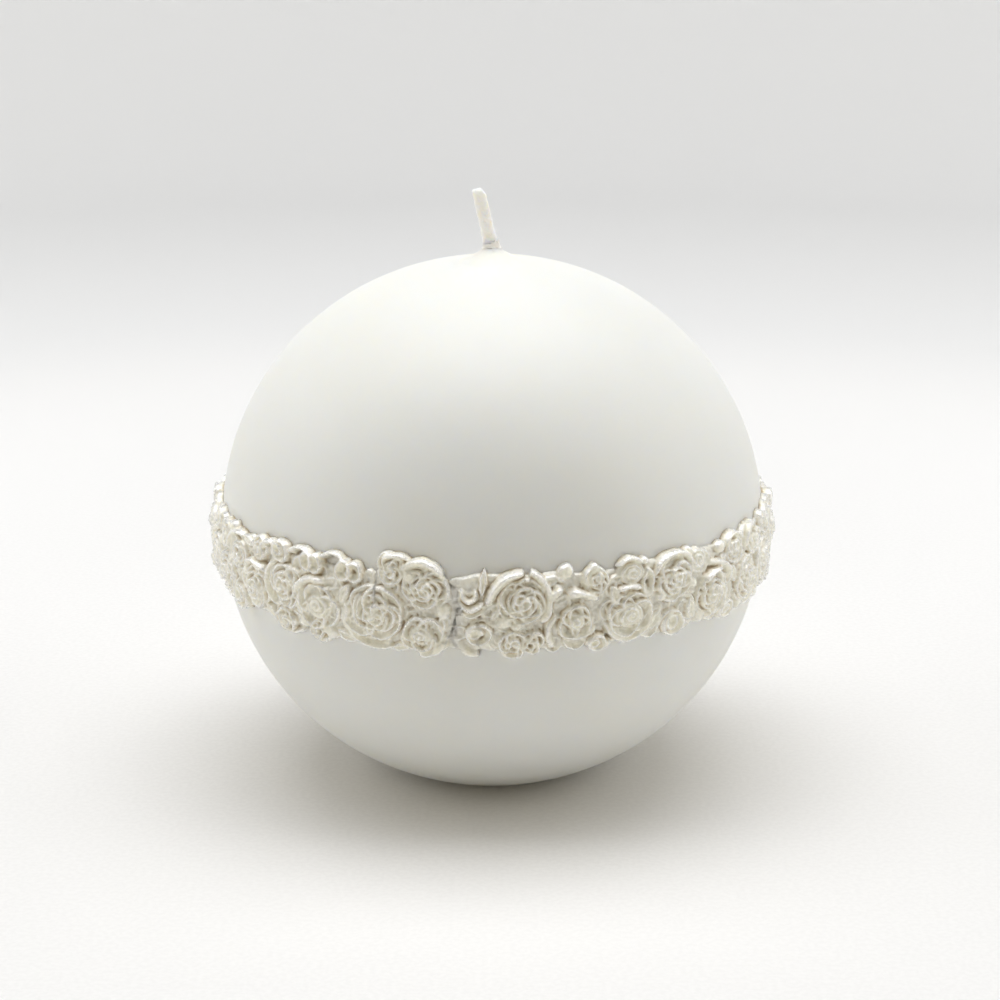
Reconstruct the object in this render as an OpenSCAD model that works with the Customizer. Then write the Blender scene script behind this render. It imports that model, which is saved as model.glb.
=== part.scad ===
// Ball candle for a wedding table: a dipped wax ball with a cotton wick, belted by a garland of cast wax roses.
// Millimetres, +Z up. The origin is the centre of the flat base, on the surface that the candle stands on.

/* [Ball] */
// Widest diameter of the ball, over its dipped coat
ball_d = 120; // [100:1:140]
// How much less the ball reaches up from its middle than it does sideways
pole_drop = 1.2; // [0.6:0.1:2]
// Diameter of the flat that the candle stands on
base_d = 40; // [34:1:44]
// Thickness of the hard white coat dipped over the core
coat_t = 1; // [0.8:0.1:1.6]

/* [Neck] */
// Diameter of the wax neck where it meets the wick
neck_d = 4.2; // [4:0.1:4.8]
// Height of the neck above the top of the ball
neck_h = 2.9; // [2.4:0.1:4]
// Diameter of the neck's foot, where it runs out into the ball
neck_foot_d = 15; // [12:0.5:20]

/* [Wick] */
// Width of the flat braid
wick_w = 2.8; // [2:0.1:3]
// Thickness of the flat braid
wick_t = 1.5; // [1:0.1:1.8]
// Length of wick that stands free above the neck
wick_free = 12.8; // [8:0.2:20]
// How far the free end leans from upright, in degrees
wick_lean = 13; // [5:1:30]
// Diameter of the channel drilled down the middle of the core
channel_d = 3.2; // [3.1:0.1:3.4]

/* [Sustainer] */
// Diameter of the tinplate disc in the base
disc_d = 15; // [12:0.5:18]
// Thickness of the tinplate
tin_t = 0.4; // [0.3:0.1:0.6]
// Length of the collar that grips the wick
collar_h = 6; // [4:0.5:8]

/* [Garland] */
// Height of the backing ribbon under the roses
ribbon_h = 15; // [12:0.5:17]
// Thickness of the backing ribbon along its middle
ribbon_t = 1.1; // [0.9:0.1:1.5]
// Width of the bevel along both edges of the ribbon
ribbon_bevel = 1.5; // [1:0.1:3]
// Thickness of the wax film that sticks the ribbon to the ball
film_t = 0.2; // [0.2:0.1:0.4]
// Gap between the ends of the two cast strips, where they butt
butt_gap = 0.4; // [0.2:0.1:1]
// How far the garland's middle line lies below the ball's widest line
garland_drop = 2; // [0:0.1:4]
// Where the front butt joint lies, in degrees to the left of the front
butt_turn = 7; // [0:1:20]
// Height of the largest roses above the coat
rose_h = 3.2; // [2.4:0.1:3.6]

/* [Hidden] */
$fn = 96;

eps = 0.01;
front = -90;                          // the front of the candle faces -Y
arc_r = ball_d / 2 - pole_drop;       // radius of the ball's outline arc, centred pole_drop off the axis
base_r = base_d / 2;
mid_z = sqrt(pow(arc_r, 2) - pow(base_r - pole_drop, 2));
pole_z = mid_z + arc_r;
neck_top_z = pole_z + neck_h;
core_arc_r = arc_r - coat_t;
strip_turn = 180;                     // each casting covers half of the belt
belt_tilt = asin(garland_drop / arc_r);

collar_wall = 0.4;
collar_d = wick_w + 0.1;              // the collar is crimped on to the wick
recess_d = disc_d + 1;
recess_h = 1.2;
collar_clear = 0.3;                   // all round the collar in its pocket
collar_od = collar_d + 2 * collar_wall;
pocket_d = collar_od + 2 * collar_clear;
disc_z = recess_h - tin_t;            // underside of the disc, so that the candle doesn't stand on it
pocket_top_z = recess_h + collar_h + collar_clear;
bend_r = 9;                           // radius of the wick's bend as it leaves the neck
film_h = ribbon_h - 2;
rose_foot = film_t + 0.3;             // the roses stand this far off the coat, inside the ribbon
wick_bottom_z = disc_z + 0.2;

wax_white = [0.95, 0.945, 0.92];
wax_core = [0.93, 0.91, 0.85];
wax_glue = [0.9, 0.86, 0.74];
pearl = [0.84, 0.81, 0.73];
cotton = [0.95, 0.94, 0.9];
tinplate = [0.72, 0.73, 0.75];

// The roses of one casting: [degrees from its left end, height from its middle line, radius].
BLOOMS = [
    [3, 4, 2.6], [4.6, -3.8, 2.3], [11, -6, 2.6], [12.3, 3.2, 5.4], [14.6, -5.6, 2],
    [20, 6, 1.7], [23, -1.8, 5.2], [28.4, 6.4, 2.8], [28, -6.8, 1.6], [34.4, 7, 2.6],
    [34.2, -1.6, 4.9], [44.7, 3.6, 4.2], [41.4, -1.4, 1.4], [44.6, -5.4, 2.6], [51, 6.4, 2.3],
    [55.4, -1.4, 4.8], [63, 6, 3], [60.6, -6.6, 2.2], [69, -2.4, 4.6], [72, 5.4, 3.1],
    [79, -1.6, 5], [80, 7, 2.4], [87.4, 4, 3.8], [86.6, -5.4, 2.8], [95.4, -0.6, 5.2],
    [95, 7.4, 2.2], [104, 4.6, 3.7], [103.4, -4.8, 3.2], [111.6, -0.6, 4.4], [112, 7.2, 2.3],
    [119.4, -2.2, 4.2], [119, 6, 2.8], [126.2, 4, 3.5], [126, -6, 2.4], [133, -1.6, 4.4],
    [134.4, 7.2, 2.3], [142.6, 1.2, 4.5], [142, -6.8, 2.4], [141, 8, 2], [149.6, 7.4, 2.4],
    [151.4, -1.6, 4.9], [151, -8, 2], [158.2, 6.8, 2.4], [164, -0.8, 6], [167.4, 8.4, 3.1],
    [174.6, 5.4, 4.4], [173.6, -4.6, 3.9]
];

// Half of the ball's outline, grown outward by grow, with the axis on its left.
module half_outline(grow = 0) {
    intersection() {
        union() {
            translate([pole_drop, mid_z]) circle(r = arc_r + grow);
            translate([0, mid_z - arc_r - grow]) square([pole_drop, 2 * (arc_r + grow)]);
        }
        square([ball_d, pole_z + grow]);
    }
}

module ball_solid(grow = 0) {
    rotate_extrude() half_outline(grow);
}

// The neck's outline: a low hill of wax, steeper towards the wick.
module neck_outline() {
    foot_x = neck_foot_d / 2;
    foot_z = mid_z + sqrt(pow(arc_r, 2) - pow(foot_x - pole_drop, 2));
    top_x = neck_d / 2;
    run = foot_x - top_x;
    rise = neck_top_z - foot_z;
    polygon([
        [0, foot_z - 0.5], [foot_x - 0.4, foot_z - 0.5], [foot_x, foot_z],
        [foot_x - 0.4 * run, foot_z + 0.3 * rise], [foot_x - 0.75 * run, foot_z + 0.68 * rise],
        [top_x, neck_top_z], [0, neck_top_z]
    ]);
}

module channel(d, z0, z1) {
    translate([0, 0, z0]) cylinder(d = d, h = z1 - z0);
}

// The room left in the base for the sustainer.
module sustainer_pocket() {
    channel(recess_d, -eps, recess_h);
    channel(pocket_d, 0, pocket_top_z);
}

module core_ball() {
    color(wax_core) difference() {
        rotate_extrude() intersection() {
            half_outline(-coat_t);
            square([ball_d, pole_z - coat_t]);
        }
        channel(channel_d, -eps, pole_z);
        sustainer_pocket();
    }
}

module overdip_coat() {
    color(wax_white) difference() {
        union() {
            ball_solid();
            rotate_extrude() neck_outline();
        }
        rotate_extrude() half_outline(-coat_t);
        channel(channel_d, pole_z - 2 * coat_t, neck_top_z + eps);
    }
}

// The wick seen from the front, w wide: upright up to the neck, then bent over to the left.
module wick_outline(w) {
    translate([-w / 2, wick_bottom_z]) square([w, neck_top_z - wick_bottom_z]);
    translate([-bend_r, neck_top_z]) {
        intersection() {
            difference() {
                circle(r = bend_r + w / 2);
                circle(r = bend_r - w / 2);
            }
            polygon([[0, 0], [2 * bend_r, 0], [2 * bend_r, 2 * bend_r * tan(wick_lean)]]);
        }
        rotate(wick_lean) translate([bend_r - w / 2, 0])
            square([w, wick_free - bend_r * wick_lean * PI / 180]);
    }
}

// A flat braid, thinner towards its two edges.
module braid() {
    for (ply = [[1, 0.5], [0.84, 0.8], [0.6, 1]])
        rotate([90, 0, 0]) translate([0, 0, -wick_t * ply[1] / 2])
            linear_extrude(wick_t * ply[1]) wick_outline(wick_w * ply[0]);
}

module wick() {
    color(cotton) braid();
}

module wick_fixing_wax() {
    color(wax_core) difference() {
        channel(channel_d, pocket_top_z, neck_top_z);
        braid();
    }
}

module wick_sustainer() {
    color(tinplate) difference() {
        union() {
            channel(disc_d, disc_z, disc_z + tin_t);
            channel(collar_od, disc_z, recess_h + collar_h);
        }
        channel(collar_d, -eps, pole_z);
    }
}

// Turns a flat outline through half of the ball's girth, less the gap at the butt joints.
module half_belt(start) {
    gap_turn = butt_gap / ball_d * 360 / PI;
    rotate([0, 0, start + gap_turn / 2]) rotate_extrude(angle = strip_turn - gap_turn) children();
}

module ball_arc(grow) {
    translate([pole_drop, mid_z]) circle(r = arc_r + grow, $fn = 360);
}

// Sets a flat outline out from the arc's centre, along the garland's middle line.
module at_belt() {
    translate([pole_drop, mid_z]) rotate(-belt_tilt) children();
}

module film_outline() {
    intersection() {
        difference() {
            ball_arc(film_t);
            ball_arc(0);
        }
        at_belt() translate([arc_r / 2, -film_h / 2]) square([arc_r, film_h]);
    }
}

// The ribbon is hollowed to the ball behind and bevelled along both edges in front.
module ribbon_outline() {
    half_h = ribbon_h / 2;
    face_x = arc_r + film_t + ribbon_t;
    difference() {
        at_belt() polygon([
            [arc_r - 3, -half_h], [face_x - 0.5, -half_h], [face_x, ribbon_bevel - half_h],
            [face_x, half_h - ribbon_bevel], [face_x - 0.5, half_h], [arc_r - 3, half_h]
        ]);
        ball_arc(film_t);
    }
}

// Half of a rose's outline: an open outer ring of petals, an inner ring and a bud.
module rose_outline(r) {
    lift = min(rose_h, 1.4 + r * 0.35);
    polygon([
        [0, rose_foot], [r, rose_foot], [r, 0.66 * lift], [0.66 * r, 0.5 * lift],
        [0.6 * r, 0.86 * lift], [0.34 * r, 0.7 * lift], [0.28 * r, lift], [0, lift]
    ]);
}

module rose(turn, height, r) {
    rotate([0, 0, turn]) translate([pole_drop, 0, mid_z]) rotate([0, belt_tilt - asin(height / arc_r), 0])
        translate([arc_r, 0, 0]) rotate([0, 90, 0]) rotate_extrude($fn = 48) rose_outline(r);
}

module garland_film(start) {
    color(wax_glue) half_belt(start) film_outline();
}

module garland_strip(start) {
    color(pearl) {
        half_belt(start) ribbon_outline();
        for (b = BLOOMS) rose(start + b[0], b[1], b[2]);
    }
}

right_start = front - butt_turn;
left_start = right_start + strip_turn;

core_ball();
overdip_coat();
wick();
wick_fixing_wax();
wick_sustainer();
garland_film(right_start);  // garland_film_right
garland_film(left_start);  // garland_film_left
garland_strip(right_start);  // garland_strip_right
garland_strip(left_start);  // garland_strip_left
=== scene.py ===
"""Looks of a ball-shaped unity candle: dipped white wax, a waxed cotton wick and a pearl-tinted rose garland.

Metres, +Z up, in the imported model's own frame. The front of the candle faces -Y.
"""

from __future__ import annotations

import logging
import math
from dataclasses import dataclass, field
from enum import Enum

import bpy
import numpy as np
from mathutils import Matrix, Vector

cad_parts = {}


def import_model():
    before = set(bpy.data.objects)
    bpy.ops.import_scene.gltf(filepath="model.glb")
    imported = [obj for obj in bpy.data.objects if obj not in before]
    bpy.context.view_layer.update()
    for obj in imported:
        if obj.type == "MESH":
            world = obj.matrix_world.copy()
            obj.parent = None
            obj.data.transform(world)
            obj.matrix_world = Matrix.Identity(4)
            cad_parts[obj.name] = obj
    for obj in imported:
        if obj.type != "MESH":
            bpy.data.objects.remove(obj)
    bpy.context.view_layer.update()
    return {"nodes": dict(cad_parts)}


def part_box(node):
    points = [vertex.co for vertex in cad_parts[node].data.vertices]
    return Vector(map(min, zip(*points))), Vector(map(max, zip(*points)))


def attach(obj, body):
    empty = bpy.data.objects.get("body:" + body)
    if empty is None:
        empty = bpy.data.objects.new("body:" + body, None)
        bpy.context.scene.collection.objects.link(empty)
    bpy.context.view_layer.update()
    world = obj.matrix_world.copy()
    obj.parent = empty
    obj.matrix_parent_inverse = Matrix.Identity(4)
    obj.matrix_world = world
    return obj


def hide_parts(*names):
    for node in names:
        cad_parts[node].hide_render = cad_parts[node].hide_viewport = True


LOG = logging.getLogger("unity_candle")
MM = 0.001
Array = np.ndarray
Point = tuple[float, float, float]


# ---------------------------------------------------------------- small tools


class Waviness:
    """Smooth, repeatable unevenness in two directions, made from a seeded lattice of values."""

    def __init__(self, seed: int, cells: int = 64) -> None:
        """Makes the lattice.

        Args:
            seed: picks the pattern.
            cells: lattice points each way before the pattern repeats.
        """
        self.cells = cells
        self.values = np.random.RandomState(seed).uniform(-1.0, 1.0, (cells, cells))

    def at(self, x: Array, y: Array, size: float) -> Array:
        """Gives values between -1 and 1.

        Args:
            x: first coordinate.
            y: second coordinate, the same shape.
            size: width of one bump, in the coordinates' own unit.

        Returns:
            One value for each coordinate pair.
        """
        gx, gy = x / size, y / size
        ix, iy = np.floor(gx).astype(int), np.floor(gy).astype(int)
        fx, fy = gx - ix, gy - iy
        fx, fy = fx * fx * (3 - 2 * fx), fy * fy * (3 - 2 * fy)
        x0, x1, y0, y1 = ix % self.cells, (ix + 1) % self.cells, iy % self.cells, (iy + 1) % self.cells
        low = self.values[x0, y0] * (1 - fx) + self.values[x1, y0] * fx
        high = self.values[x0, y1] * (1 - fx) + self.values[x1, y1] * fx
        return low * (1 - fy) + high * fy


def smooth_step(low: float, high: float, x: Array) -> Array:
    """Rises softly from 0 at low to 1 at high.

    Args:
        low: where the rise starts.
        high: where it ends.
        x: where it is wanted.

    Returns:
        Values between 0 and 1.
    """
    t = np.clip((x - low) / (high - low), 0.0, 1.0)
    return t * t * (3 - 2 * t)


def face_mesh(
    name: str, points: Array, quads: Array, tris: Array | None = None, marks: dict[str, Array] | None = None
) -> bpy.types.Object:
    """Makes a smooth-shaded mesh object from arrays.

    Args:
        name: the piece's name.
        points: n x 3 places in metres.
        quads: m x 4 point numbers, counter-clockwise seen from outside.
        tris: k x 3 point numbers, for ends that close in a fan.
        marks: values from 0 to 1 for each point, kept on the mesh under these names.

    Returns:
        The new object, linked to the scene.
    """
    tris = np.empty((0, 3), int) if tris is None else tris
    corners = np.concatenate([quads.ravel(), tris.ravel()]).astype(np.int32)
    starts = np.concatenate([np.arange(len(quads)) * 4, 4 * len(quads) + np.arange(len(tris)) * 3])
    mesh = bpy.data.meshes.new(name)
    mesh.vertices.add(len(points))
    mesh.vertices.foreach_set("co", points.astype(np.float32).ravel())
    mesh.loops.add(len(corners))
    mesh.loops.foreach_set("vertex_index", corners)
    mesh.polygons.add(len(starts))
    mesh.polygons.foreach_set("loop_start", starts.astype(np.int32))
    mesh.polygons.foreach_set("use_smooth", np.ones(len(starts), dtype=bool))
    mesh.update(calc_edges=True)
    for mark, values in (marks or {}).items():
        mesh.attributes.new(mark, "FLOAT", "POINT").data.foreach_set("value", values.astype(np.float32).ravel())
    mesh.validate()
    piece = bpy.data.objects.new(name, mesh)
    bpy.context.scene.collection.objects.link(piece)
    return piece


def fan(ring: Array, centre: int, flip: bool = False) -> Array:
    """Closes a ring of points round a middle point with triangles."""
    around = np.stack([ring, np.roll(ring, -1), np.full_like(ring, centre)], axis=1)
    return around[:, ::-1] if flip else around


def capped_tube(name: str, rings: Array, flip: bool = False, marks: dict[str, Array] | None = None) -> bpy.types.Object:
    """Skins a row of rings of points and closes both ends.

    Args:
        name: the piece's name.
        rings: rows x columns x 3 places in metres, columns running round.
        flip: turns the faces over, for rings that run the other way.
        marks: values from 0 to 1, rows x columns, kept on the mesh under these names.

    Returns:
        The new object.
    """
    rows, columns = rings.shape[:2]
    points = rings.reshape(-1, 3)
    first, last = np.arange(columns), (rows - 1) * columns + np.arange(columns)
    middles = np.stack([points[first].mean(axis=0), points[last].mean(axis=0)])
    quads = grid_quads(rows, columns, wrap_columns=True)
    tris = np.concatenate([fan(first, len(points), flip=not flip), fan(last, len(points) + 1, flip=flip)])
    values = {label: np.append(grid.ravel(), [0.5, 0.5]) for label, grid in (marks or {}).items()}
    return face_mesh(name, np.concatenate([points, middles]), quads[:, ::-1] if flip else quads, tris, values)


def grid_quads(rows: int, columns: int, wrap_rows: bool = False, wrap_columns: bool = False) -> Array:
    """Numbers the quads of a grid of points.

    Args:
        rows: points down the grid.
        columns: points along each row.
        wrap_rows: joins the last row to the first.
        wrap_columns: joins each row's last point to its first.

    Returns:
        m x 4 point numbers.
    """
    i = np.arange(rows if wrap_rows else rows - 1)[:, None]
    j = np.arange(columns if wrap_columns else columns - 1)[None, :]
    i2, j2 = (i + 1) % rows, (j + 1) % columns
    return np.stack([i * columns + j, i * columns + j2, i2 * columns + j2, i2 * columns + j], axis=-1).reshape(-1, 4)


def resample(outline: list[tuple[float, float]], step: float) -> Array:
    """Spaces points evenly along a bent line.

    Args:
        outline: corner points.
        step: distance between the new points, about.

    Returns:
        n x 2 points, with both ends kept.
    """
    line = np.array(outline, float)
    run = np.concatenate([[0.0], np.cumsum(np.hypot(*np.diff(line, axis=0).T))])
    at = np.linspace(0.0, run[-1], max(2, int(run[-1] / step) + 1))
    return np.stack([np.interp(at, run, line[:, 0]), np.interp(at, run, line[:, 1])], axis=1)


# ---------------------------------------------------------------- shader tools


class Wiring:
    """Places and joins nodes in one node tree."""

    def __init__(self, tree: bpy.types.NodeTree) -> None:
        """Takes the tree to work in."""
        self.tree = tree

    def add(self, kind: str, links: dict | None = None, **settings: object) -> bpy.types.Node:
        """Adds a node.

        Args:
            kind: the node's type name.
            links: what goes into each named or numbered input, a socket or a value.
            settings: the node's own properties.

        Returns:
            The new node.
        """
        node = self.tree.nodes.new(kind)
        for key, value in settings.items():
            setattr(node, key, value)
        for key, value in (links or {}).items():
            self.put(node.inputs[key], value)
        return node

    def put(self, socket: bpy.types.NodeSocket, value: object) -> None:
        """Joins a socket to this input, or sets the input's value."""
        if isinstance(value, bpy.types.NodeSocket):
            self.tree.links.new(value, socket)
        else:
            socket.default_value = value

    def math(self, operation: str, a: object, b: object = 0.0, clamp: bool = False) -> bpy.types.NodeSocket:
        """Adds a Math node and gives its result."""
        return self.add("ShaderNodeMath", {0: a, 1: b}, operation=operation, use_clamp=clamp).outputs[0]

    def blend(self, mask: object, low: object, high: object) -> bpy.types.NodeSocket:
        """Mixes two colours by a mask and gives the result."""
        return self.add("ShaderNodeMix", {0: mask, 6: low, 7: high}, data_type="RGBA").outputs[2]

    def band(
        self, value: object, low: float, high: float, to_low: float = 0.0, to_high: float = 1.0
    ) -> bpy.types.NodeSocket:
        """Maps a value range softly to another and gives the result."""
        links = {0: value, 1: low, 2: high, 3: to_low, 4: to_high}
        return self.add("ShaderNodeMapRange", links, interpolation_type="SMOOTHSTEP").outputs[0]

    def noise(self, where: object, scale: object, detail: float = 2.0) -> bpy.types.NodeSocket:
        """Adds a Noise texture and gives its value."""
        return self.add("ShaderNodeTexNoise", {"Vector": where, "Scale": scale, "Detail": detail}).outputs[0]


def new_material(name: str) -> tuple[bpy.types.Material, Wiring, bpy.types.Node]:
    """Starts a material and gives it, its wiring and its shader."""
    material = bpy.data.materials.new(name)
    material.use_nodes = True
    return material, Wiring(material.node_tree), material.node_tree.nodes["Principled BSDF"]


def new_group(
    name: str, takes: dict[str, float], gives: list[str]
) -> tuple[bpy.types.NodeTree, Wiring, bpy.types.Node, bpy.types.Node]:
    """Starts a shader node group that works in object space.

    Args:
        name: the group's name.
        takes: named inputs with their usual values.
        gives: named outputs, all plain values.

    Returns:
        The group, its wiring, its input node and its output node.
    """
    group = bpy.data.node_groups.new(name, "ShaderNodeTree")
    for label, value in takes.items():
        socket = group.interface.new_socket(label, in_out="INPUT", socket_type="NodeSocketFloat")
        socket.default_value = value
    for label in gives:
        group.interface.new_socket(label, in_out="OUTPUT", socket_type="NodeSocketFloat")
    wiring = Wiring(group)
    return group, wiring, wiring.add("NodeGroupInput"), wiring.add("NodeGroupOutput")


@dataclass(frozen=True)
class WaxSkin:
    """The effects that every wax surface shares: cloudy mottling, soft dents and fine pores."""

    name: str = "wax_skin"

    def group(self) -> bpy.types.NodeTree:
        """Gives the shared node group, made on first use."""
        if self.name in bpy.data.node_groups:
            return bpy.data.node_groups[self.name]
        group, w, start, end = new_group(
            self.name, {"Cloud Size": 45.0, "Dent Size": 160.0, "Pore Size": 2200.0}, ["Cloud", "Dents", "Pores"]
        )
        place = w.add("ShaderNodeTexCoord").outputs["Object"]
        w.put(end.inputs["Cloud"], w.band(w.noise(place, start.outputs["Cloud Size"], 3.0), 0.35, 0.65))
        w.put(end.inputs["Dents"], w.noise(place, start.outputs["Dent Size"], 4.0))
        w.put(end.inputs["Pores"], w.band(w.noise(place, start.outputs["Pore Size"]), 0.3, 0.7))
        return group


@dataclass(frozen=True)
class WaxFinish:
    """A wax: its colour, the tint of its cloudy patches, how deep light goes in and how smooth it is."""

    name: str
    colour: Point
    cloud_tint: Point
    roughness: float = 0.45
    depth: float = 0.004
    subsurface: float = 0.6
    cloud_size: float = 45.0
    dent: float = 0.25
    pore: float = 0.02

    def material(self) -> bpy.types.Material:
        """Gives the material, made on first use."""
        if self.name in bpy.data.materials:
            return bpy.data.materials[self.name]
        material, w, shader = new_material(self.name)
        skin = w.add("ShaderNodeGroup", node_tree=WaxSkin().group())
        skin.inputs["Cloud Size"].default_value = self.cloud_size
        tint = w.blend(skin.outputs["Cloud"], (*self.colour, 1), (*self.cloud_tint, 1))
        w.put(shader.inputs["Base Color"], tint)
        rough = w.band(skin.outputs["Dents"], 0.2, 0.8, self.roughness - 0.05, self.roughness + 0.06)
        w.put(shader.inputs["Roughness"], rough)
        dents = w.math("MULTIPLY", skin.outputs["Dents"], self.dent)
        height = w.math("ADD", dents, w.math("MULTIPLY", skin.outputs["Pores"], self.pore))
        bump = w.add("ShaderNodeBump", {"Height": height, "Strength": 0.35, "Distance": 0.0004})
        w.put(shader.inputs["Normal"], bump.outputs[0])
        shader.inputs["Subsurface Weight"].default_value = self.subsurface
        shader.inputs["Subsurface Radius"].default_value = (1.0, 0.85, 0.6)
        shader.inputs["Subsurface Scale"].default_value = self.depth
        shader.inputs["IOR"].default_value = 1.44
        return material


@dataclass(frozen=True)
class PearlFinish:
    """Cast wax under rubbed-on pearl tint: silvery on what stands up and whitened there by a painted highlight, beige
    in the hollows and deepened there into painted shade.
    """

    name: str = "pearl_tinted_wax"
    # Colour in the creases: a beige tint, deepened into painted shade.
    hollow_tint_and_painted_shade: Point = (0.55, 0.44, 0.28)
    body: Point = (0.965, 0.915, 0.79)
    # Colour on the crests: the silvery pearl tint, whitened into a painted highlight.
    crest: Point = (0.99, 0.97, 0.91)

    def material(self) -> bpy.types.Material:
        """Gives the material, made on first use."""
        if self.name in bpy.data.materials:
            return bpy.data.materials[self.name]
        material, w, shader = new_material(self.name)
        skin = w.add("ShaderNodeGroup", node_tree=WaxSkin().group())
        skin.inputs["Cloud Size"].default_value = 260.0
        skin.inputs["Dent Size"].default_value = 900.0
        skin.inputs["Pore Size"].default_value = 3500.0
        crease_shade_and_tint = w.add("ShaderNodeAttribute", attribute_name="crease_shade_and_tint").outputs["Fac"]
        crest = w.add("ShaderNodeAttribute", attribute_name="crest").outputs["Fac"]
        ragged = w.math("MULTIPLY", skin.outputs["Cloud"], 0.35)
        raised = w.math("ADD", crest, w.math("MULTIPLY", skin.outputs["Dents"], 0.3))
        # What stands up takes the pearl tint and a painted highlight, rubbed off in cloudy patches; the same mask
        # raises the metallic setting.
        worn_and_highlit = w.math("SUBTRACT", raised, ragged, clamp=True)
        body_and_painted_highlight = w.blend(w.band(worn_and_highlit, 0.1, 0.75), (*self.body, 1), (*self.crest, 1))
        # The creases take the beige tint and painted shade; cloudy patches add a little to it at random.
        painted_shade_and_tint_mask = w.band(w.math("ADD", crease_shade_and_tint, w.math("MULTIPLY", ragged, 0.4)), 0.42, 1.05)
        w.put(shader.inputs["Base Color"], w.blend(painted_shade_and_tint_mask, body_and_painted_highlight, (*self.hollow_tint_and_painted_shade, 1)))
        w.put(shader.inputs["Metallic"], w.band(worn_and_highlit, 0.1, 0.9, 0.06, 0.4))
        w.put(shader.inputs["Roughness"], w.band(skin.outputs["Dents"], 0.25, 0.75, 0.14, 0.36))
        height = w.math("ADD", skin.outputs["Dents"], w.math("MULTIPLY", skin.outputs["Pores"], 0.2))
        bump = w.add("ShaderNodeBump", {"Height": height, "Strength": 0.6, "Distance": 0.0004})
        w.put(shader.inputs["Normal"], bump.outputs[0])
        shader.inputs["Subsurface Weight"].default_value = 0.7
        shader.inputs["Subsurface Radius"].default_value = (1.0, 0.95, 0.85)
        shader.inputs["Subsurface Scale"].default_value = 0.0015
        shader.inputs["Coat Weight"].default_value = 0.8
        shader.inputs["Coat Roughness"].default_value = 0.07
        return material


@dataclass(frozen=True)
class TinFinish:
    """Thin tinned sheet, dulled a little by handling."""

    name: str = "tinned_sheet"

    def material(self) -> bpy.types.Material:
        """Gives the material, made on first use."""
        if self.name in bpy.data.materials:
            return bpy.data.materials[self.name]
        material, w, shader = new_material(self.name)
        skin = w.add("ShaderNodeGroup", node_tree=WaxSkin().group())
        skin.inputs["Cloud Size"].default_value = 300.0
        w.put(shader.inputs["Base Color"], w.blend(skin.outputs["Cloud"], (0.62, 0.63, 0.64, 1), (0.5, 0.5, 0.5, 1)))
        w.put(shader.inputs["Roughness"], w.band(skin.outputs["Dents"], 0.3, 0.7, 0.24, 0.42))
        bump = w.add("ShaderNodeBump", {"Height": skin.outputs["Pores"], "Strength": 0.15, "Distance": 0.0001})
        w.put(shader.inputs["Normal"], bump.outputs[0])
        shader.inputs["Metallic"].default_value = 1.0
        return material


@dataclass(frozen=True)
class Finishes:
    """The candle's finishes, each by its own name."""

    dip: WaxFinish = WaxFinish("white_dip_wax", (0.94, 0.905, 0.795), (0.945, 0.915, 0.815), roughness=0.5)
    core: WaxFinish = WaxFinish("core_wax", (0.84, 0.8, 0.7), (0.87, 0.83, 0.74), roughness=0.55, dent=0.5)
    glue: WaxFinish = WaxFinish("sticky_wax", (0.78, 0.7, 0.52), (0.8, 0.73, 0.56), roughness=0.35)
    wick: WaxFinish = WaxFinish(
        "waxed_cotton", (0.96, 0.955, 0.92), (0.975, 0.97, 0.94), roughness=0.5, depth=0.003, subsurface=1.0,
        cloud_size=500.0, dent=0.6, pore=0.3,
    )
    # A lighter copy of the dip wax for the sleeve round the wick: painted light, standing in for the light that shows
    # through the thin stub.
    torn: WaxFinish = WaxFinish(
        "torn_dip_wax", (0.985, 0.96, 0.89), (0.985, 0.965, 0.91), roughness=0.5, depth=0.001, subsurface=0.2
    )
    pearl: PearlFinish = PearlFinish()
    tin: TinFinish = TinFinish()


# ---------------------------------------------------------------- the ball


@dataclass
class BallForm:
    """Where the ball's surface is, in millimetres."""

    half_width: float = 60.0
    pole_drop: float = 1.2
    base_radius: float = 20.0
    coat: float = 1.0
    belt_drop: float = 2.1

    @property
    def arc(self) -> float:
        """Radius of the outline's arc."""
        return self.half_width - self.pole_drop

    @property
    def middle(self) -> float:
        """Height of the ball's middle above the table."""
        return math.sqrt(self.arc**2 - (self.base_radius - self.pole_drop) ** 2)

    @property
    def pole(self) -> float:
        """Height of the ball's top, without the neck."""
        return self.middle + self.arc

    def place(self, turn: Array, rise: Array, lift: Array) -> Array:
        """Finds points on or over the surface.

        Args:
            turn: angle round the candle in radians, 0 at the front and growing to the right.
            rise: distance up the surface from the garland's middle line, in millimetres.
            lift: distance out from the surface, in millimetres.

        Returns:
            n x 3 places in metres.
        """
        slope = (rise - self.belt_drop) / self.arc
        out = self.pole_drop + (self.arc + lift) * np.cos(slope)
        up = self.middle + (self.arc + lift) * np.sin(slope)
        return np.stack([out * np.sin(turn), -out * np.cos(turn), up], axis=-1) * MM


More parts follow.
